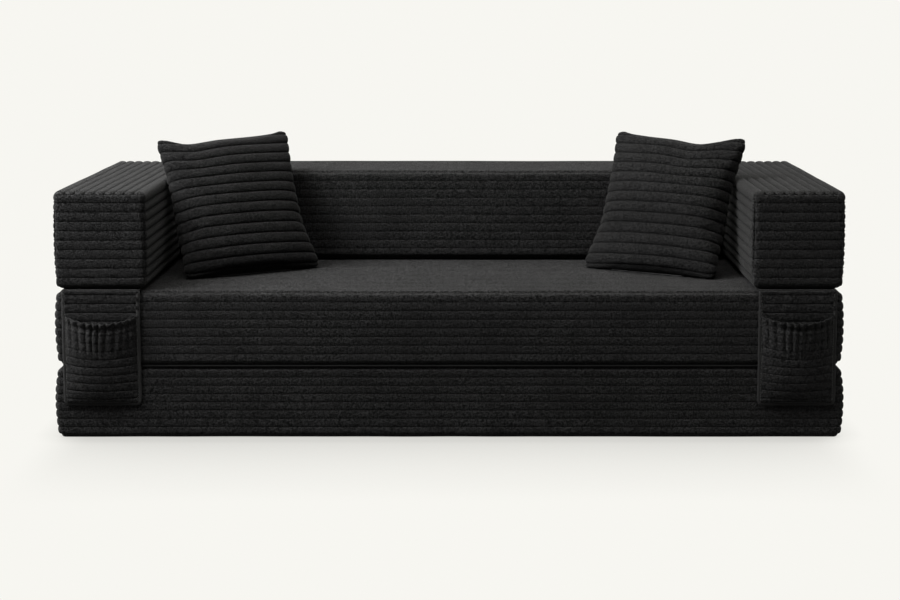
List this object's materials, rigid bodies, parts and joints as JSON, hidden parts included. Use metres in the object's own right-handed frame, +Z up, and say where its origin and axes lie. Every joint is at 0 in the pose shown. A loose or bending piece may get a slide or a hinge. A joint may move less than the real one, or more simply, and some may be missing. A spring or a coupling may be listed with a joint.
{
  "type": "folding foam sofa bed",
  "caption": "Low foam sofa in wide-rib corduroy: arm and back blocks on a seat mattress, a base mattress that folds out into a bed, hanging side pockets and loose cushions.",
  "frame": {"origin": "centre of the base mattress's underside, on the floor", "axes": "+X to the right as seen from the front, -Y towards the front, +Z up"},
  "size_m": [1.97, 0.8868, 0.7317],
  "materials": {
    "corduroy": "black wide-rib corduroy",
    "lining": "plain woven non-slip lining",
    "foam": "open-cell foam",
    "webbing": "woven tape",
    "slider_metal": "black enamel"
  },
  "bodies": {
    "sofa": {"seat_foam": "foam", "seat_cover": "corduroy", "seat_lining": "lining", "seat_zip": "webbing", "back_foam": "foam", "back_cover": "corduroy", "back_lining": "lining", "back_zip": "webbing", "arm_foam_left": "foam", "arm_cover_left": "corduroy", "arm_panel_left": "corduroy", "arm_lining_left": "lining", "arm_zip_left": "webbing", "arm_hook_tape_left": "webbing", "seat_loop_tape_left": "webbing", "pocket_tab_left": "webbing", "arm_foam_right": "foam", "arm_cover_right": "corduroy", "arm_panel_right": "corduroy", "arm_lining_right": "lining", "arm_zip_right": "webbing", "arm_hook_tape_right": "webbing", "seat_loop_tape_right": "webbing", "pocket_tab_right": "webbing", "back_hook_tape": "webbing", "seat_loop_tape_back": "webbing", "hinge_tape_upper": "webbing"},
    "base": {"base_foam": "foam", "base_cover": "corduroy", "base_lining": "lining", "base_zip": "webbing", "hinge_tape_lower": "webbing"},
    "pocket_flap_left": {"pocket_panel_left": "corduroy", "pocket_binding_left": "webbing", "pocket_pouch_left": "corduroy", "pocket_elastic_left": "webbing"},
    "pocket_flap_right": {"pocket_panel_right": "corduroy", "pocket_binding_right": "webbing", "pocket_pouch_right": "corduroy", "pocket_elastic_right": "webbing"},
    "cushion_left": {"cushion_cover_left": "corduroy", "cushion_fill_left": "foam", "cushion_zip_left": "webbing"},
    "cushion_right": {"cushion_cover_right": "corduroy", "cushion_fill_right": "foam", "cushion_zip_right": "webbing"},
    "slider_seat": {"seat_zip_slider": "slider_metal"},
    "slider_base": {"base_zip_slider": "slider_metal"},
    "slider_back": {"back_zip_slider": "slider_metal"},
    "slider_arm_left": {"arm_zip_slider_left": "slider_metal"},
    "slider_arm_right": {"arm_zip_slider_right": "slider_metal"}
  },
  "joints": [
    {"name": "base_unfold", "type": "hinge", "parent": "sofa", "child": "base", "pos_m": [0, -0.421, 0.1835], "axis": [-1, 0, 0], "range_deg": [0, 180]},
    {"name": "pocket_fold_left", "type": "hinge", "parent": "sofa", "child": "pocket_flap_left", "pos_m": [-0.867, -0.423, 0.37485], "axis": [-1, 0, 0], "range_deg": [0, 90]},
    {"name": "pocket_fold_right", "type": "hinge", "parent": "sofa", "child": "pocket_flap_right", "pos_m": [0.867, -0.423, 0.37485], "axis": [-1, 0, 0], "range_deg": [0, 90]},
    {"name": "cushion_lift_left", "type": "slide", "parent": "sofa", "child": "cushion_left", "axis": [0, 0, 1], "range_m": [0, 0.3]},
    {"name": "cushion_lift_right", "type": "slide", "parent": "sofa", "child": "cushion_right", "axis": [0, 0, 1], "range_m": [0, 0.3]},
    {"name": "zip_seat", "type": "slide", "parent": "sofa", "child": "slider_seat", "axis": [-1, 0, 0], "range_m": [0, 1.64]},
    {"name": "zip_base", "type": "slide", "parent": "base", "child": "slider_base", "axis": [-1, 0, 0], "range_m": [0, 1.64]},
    {"name": "zip_back", "type": "slide", "parent": "sofa", "child": "slider_back", "axis": [-1, 0, 0], "range_m": [0, 1.169]},
    {"name": "zip_arm_left", "type": "slide", "parent": "sofa", "child": "slider_arm_left", "axis": [-1, 0, 0], "range_m": [0, 0.132]},
    {"name": "zip_arm_right", "type": "slide", "parent": "sofa", "child": "slider_arm_right", "axis": [-1, 0, 0], "range_m": [0, 0.132]}
  ],
  "couplings": [
    {"joint": "pocket_fold_left", "follows": "base_unfold", "ratio": 0.495},
    {"joint": "pocket_fold_right", "follows": "base_unfold", "ratio": 0.495}
  ]
}
